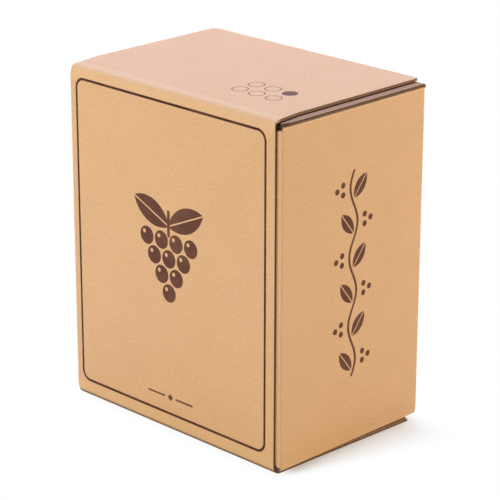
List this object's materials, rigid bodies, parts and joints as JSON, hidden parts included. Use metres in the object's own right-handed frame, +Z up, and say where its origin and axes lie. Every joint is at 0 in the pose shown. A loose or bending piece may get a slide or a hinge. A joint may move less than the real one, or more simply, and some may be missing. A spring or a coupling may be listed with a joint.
{
  "type": "bottle shipping box",
  "caption": "Upright corrugated shipping box for bottles, with full-overlap flaps, a hinged top flap, and a divider and tray insert inside.",
  "frame": {"origin": "middle of the base, on the floor", "axes": "+X to the right of the printed front wall, +Y to the back wall, +Z up"},
  "size_m": [0.355, 0.246, 0.432],
  "materials": {
    "printed_board": "matte kraft liner with one dark brown print colour",
    "plain_board": "matte kraft liner, not printed"
  },
  "bodies": {
    "carton": {"carton": "printed_board", "lower_tray": "plain_board", "upper_tray": "plain_board", "long_divider": "plain_board", "left_divider": "plain_board", "right_divider": "plain_board"},
    "outer_top_flap": {"outer_top_flap": "printed_board"}
  },
  "joints": [
    {"name": "outer_top_flap_hinge", "type": "hinge", "parent": "carton", "child": "outer_top_flap", "pos_m": [0, -0.123, 0.432], "axis": [1, 0, 0], "range_deg": [0, 250]}
  ]
}
